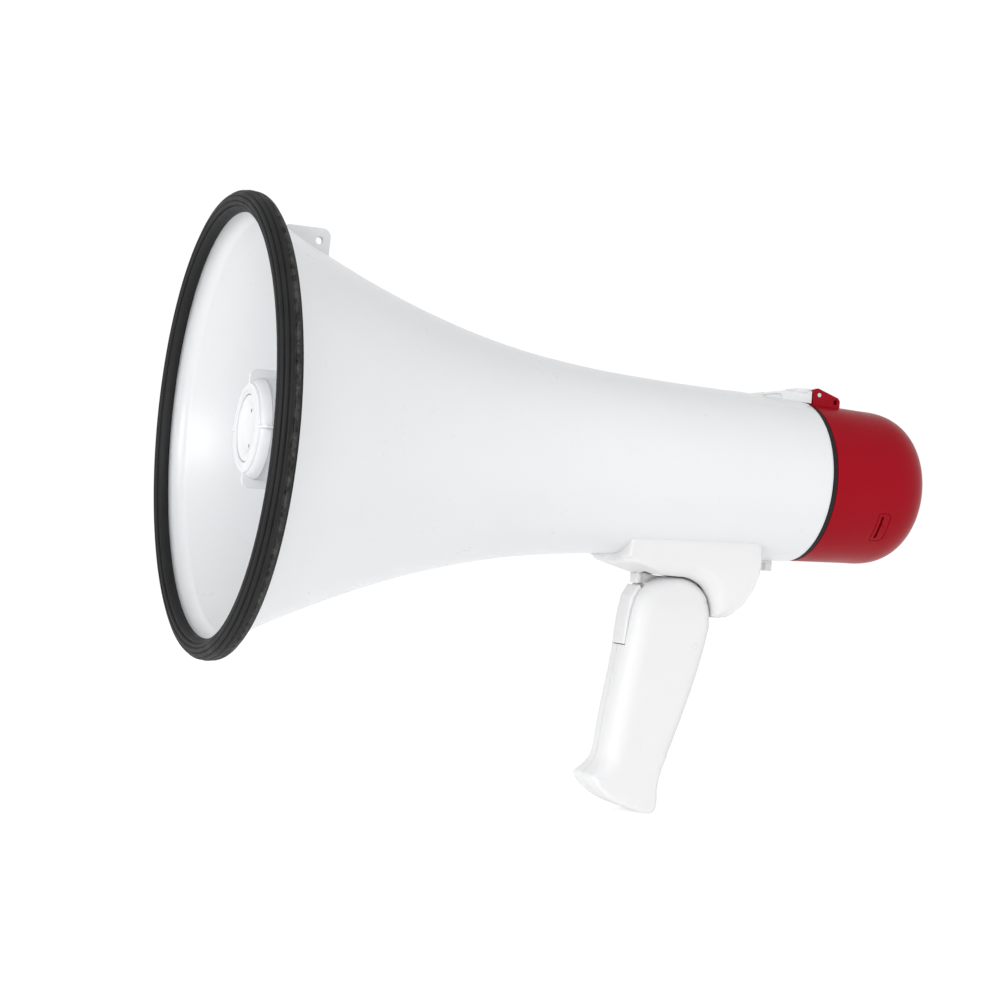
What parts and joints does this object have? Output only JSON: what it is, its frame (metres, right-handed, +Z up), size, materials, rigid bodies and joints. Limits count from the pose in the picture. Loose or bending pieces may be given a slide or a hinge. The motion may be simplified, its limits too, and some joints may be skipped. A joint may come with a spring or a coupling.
{
  "type": "handheld megaphone",
  "caption": "Hand-held megaphone: flared reflex horn with rubber rim and centre driver, folding pistol grip with trigger, and hinged rear cap with microphone and controls.",
  "frame": {"origin": "centre of the bounding box in plan, on the floor plane under the foot of the grip", "axes": "+X along the horn axis from the mouth to the rear cap, +Y across the horn (to the right of someone who speaks into it from the rear), +Z up, away from the grip"},
  "size_m": [0.371, 0.2108, 0.2734],
  "materials": {
    "white_shell": "satin moulded ABS",
    "grip_white": "fine matt moulded ABS",
    "black_rubber": "matt",
    "red_plastic": "fine texture",
    "steel": "bright zinc plate",
    "dark_plastic": "satin",
    "ferrite": "sintered",
    "copper": "enamelled wire",
    "board": "solder mask",
    "cell_jacket": "printed metal jacket",
    "film": "thin film",
    "brass": "bright"
  },
  "bodies": {
    "horn": {"horn_body": "white_shell", "rim_ring": "black_rubber", "rear_gasket": "black_rubber", "driver_housing": "white_shell", "driver_front_cap": "white_shell", "driver_cap_screw_upper": "steel", "driver_cap_screw_lower": "steel", "driver_yoke": "steel", "driver_magnet": "ferrite", "driver_top_plate": "steel", "voice_coil": "copper", "diaphragm": "film", "tone_tube": "white_shell", "phase_plug": "white_shell", "reflector_bulkhead": "white_shell", "amplifier_board": "board", "contact_plate_front": "brass", "hinge_bracket": "white_shell", "hinge_bracket_screw": "steel", "hinge_pin": "steel", "latch_pin": "steel", "latch_spring": "steel", "saddle_bracket": "grip_white", "saddle_screw_front": "steel", "saddle_screw_rear": "steel"},
    "grip": {"handle_shell_left": "grip_white", "handle_shell_right": "grip_white", "handle_pivot_pin": "steel", "handle_screw_1": "steel", "handle_screw_2": "steel", "handle_screw_3": "steel", "trigger_pin": "steel", "trigger_spring": "steel", "trigger_switch": "dark_plastic"},
    "trigger_lever": {"trigger": "grip_white"},
    "plunger": {"switch_plunger": "dark_plastic"},
    "cap": {"rear_cap": "red_plastic", "mic_grille": "dark_plastic", "mic_capsule": "ferrite", "volume_control": "ferrite", "siren_switch": "dark_plastic", "mode_switch": "dark_plastic"},
    "knob": {"volume_knob": "dark_plastic"},
    "button": {"siren_button": "red_plastic"},
    "slider": {"mode_slider": "dark_plastic"},
    "latch": {"cap_latch": "white_shell"},
    "battery_pack": {"battery_carrier": "dark_plastic", "battery_cell_1": "cell_jacket", "battery_cell_2": "cell_jacket", "battery_cell_3": "cell_jacket", "battery_cell_4": "cell_jacket", "battery_cell_5": "cell_jacket", "battery_cell_6": "cell_jacket", "battery_cell_7": "cell_jacket", "battery_cell_8": "cell_jacket", "contact_plate_rear": "brass"}
  },
  "joints": [
    {"name": "handle_fold", "type": "hinge", "parent": "horn", "child": "grip", "pos_m": [0.0518, 0, 0.0967], "axis": [0, 1, 0], "range_deg": [0, 60]},
    {"name": "trigger_press", "type": "hinge", "parent": "grip", "child": "trigger_lever", "pos_m": [0.0319, 0, 0.0844], "axis": [0, 1, 0], "range_deg": [0, 8], "stiffness_Nm_per_rad": 0.3, "springref_deg": -6.88},
    {"name": "plunger_press", "type": "slide", "parent": "grip", "child": "plunger", "axis": [1, 0, 0], "range_m": [0, 0.00062]},
    {"name": "cap_hinge", "type": "hinge", "parent": "horn", "child": "cap", "pos_m": [0.1244, 0, 0.2122], "axis": [0, -1, 0], "range_deg": [0, 95]},
    {"name": "latch_press", "type": "hinge", "parent": "horn", "child": "latch", "pos_m": [0.1023, 0, 0.1314], "axis": [0, -1, 0], "range_deg": [0, 8], "stiffness_Nm_per_rad": 0.05, "springref_deg": -6.88, "deforming": ["latch_spring"]},
    {"name": "volume_turn", "type": "hinge", "parent": "cap", "child": "knob", "pos_m": [0.1753, 0.015, 0.149], "axis": [1, 0, 0], "range_deg": [0, 270]},
    {"name": "siren_press", "type": "slide", "parent": "cap", "child": "button", "axis": [-1, 0, 0], "range_m": [0, 0.0015], "stiffness_N_per_m": 800, "springref_m": -0.0012},
    {"name": "mode_slide", "type": "slide", "parent": "cap", "child": "slider", "axis": [0, -0.5299, 0.848], "range_m": [-0.006, 0.002]},
    {"name": "battery_slide", "type": "slide", "parent": "horn", "child": "battery_pack", "axis": [1, 0, 0], "range_m": [0, 0.028]}
  ],
  "couplings": [
    {"joint": "plunger_press", "follows": "trigger_press", "m_per_rad": 0.0043}
  ]
}
